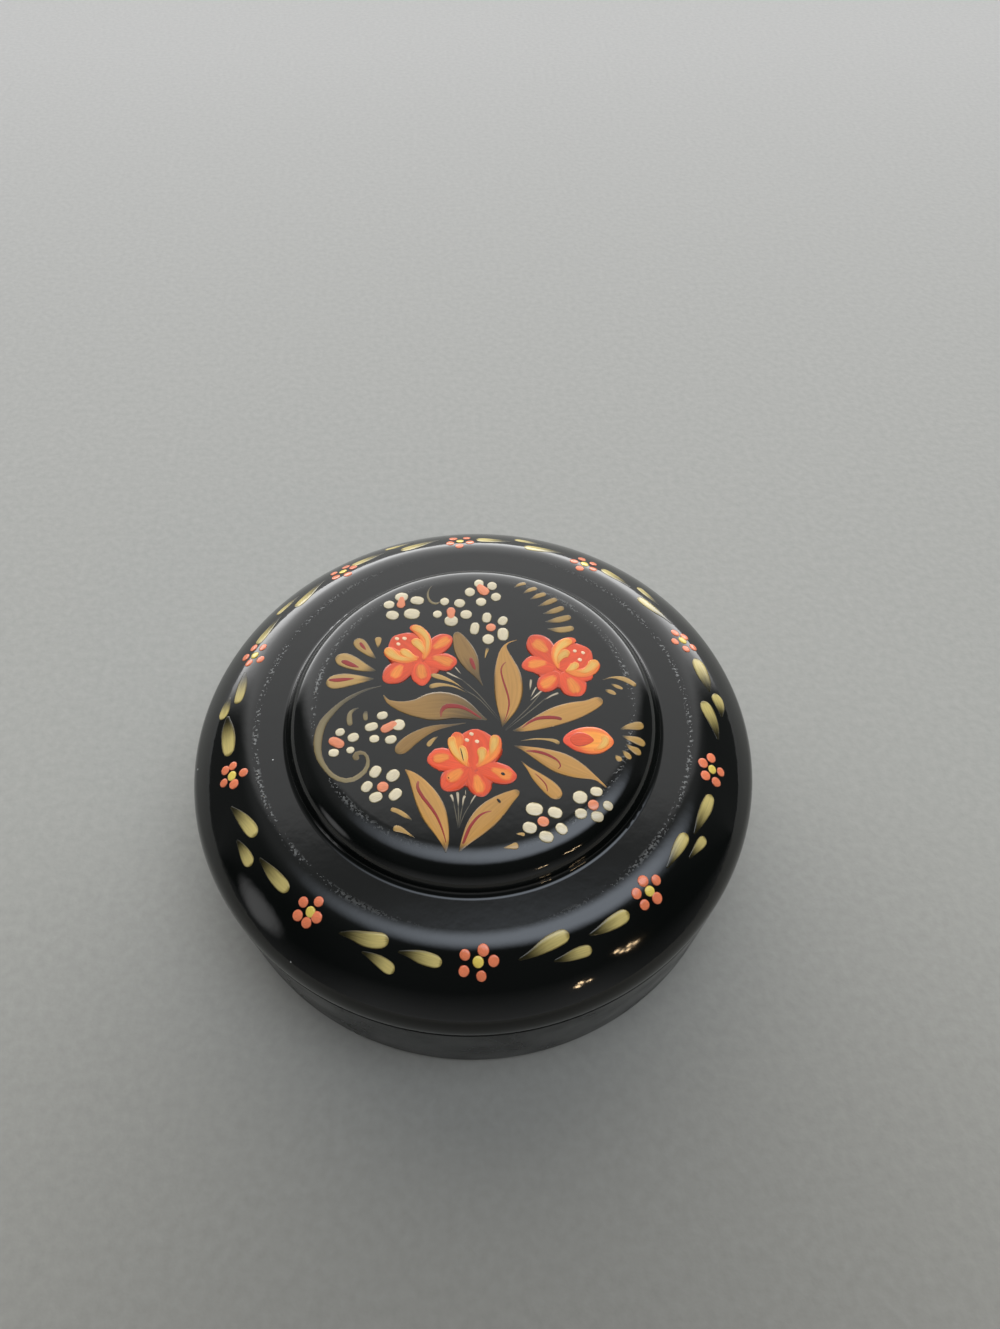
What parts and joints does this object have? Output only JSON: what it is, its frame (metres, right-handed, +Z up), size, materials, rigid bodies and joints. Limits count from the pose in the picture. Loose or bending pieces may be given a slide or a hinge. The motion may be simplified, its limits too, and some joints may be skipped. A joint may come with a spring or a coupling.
{
  "type": "round lacquer box",
  "caption": "Round papier-mache trinket box in black lacquer, with a painted lift-off lid that slides over an inner collar.",
  "frame": {"origin": "centre of the flat underside, on the surface the box stands on", "axes": "+Z up along the turning axis; -Y faces the front of the bouquet, +X to its right"},
  "size_m": [0.08, 0.08, 0.0281],
  "materials": {
    "black_lacquer": "papier-mache under gloss black lacquer",
    "red_lacquer": "papier-mache under satin red lacquer",
    "red_paint": "oil paint film under clear lacquer",
    "ochre_paint": "oil paint film under clear lacquer",
    "cream_paint": "oil paint film under clear lacquer"
  },
  "bodies": {
    "base": {"base_wall": "black_lacquer", "base_floor": "red_lacquer", "inner_collar": "red_lacquer"},
    "lid": {"lid_ring": "black_lacquer", "lid_top": "black_lacquer"}
  },
  "joints": [
    {"name": "lid_lift", "type": "slide", "parent": "base", "child": "lid", "axis": [0, 0, 1], "range_m": [0, 0.04]}
  ]
}
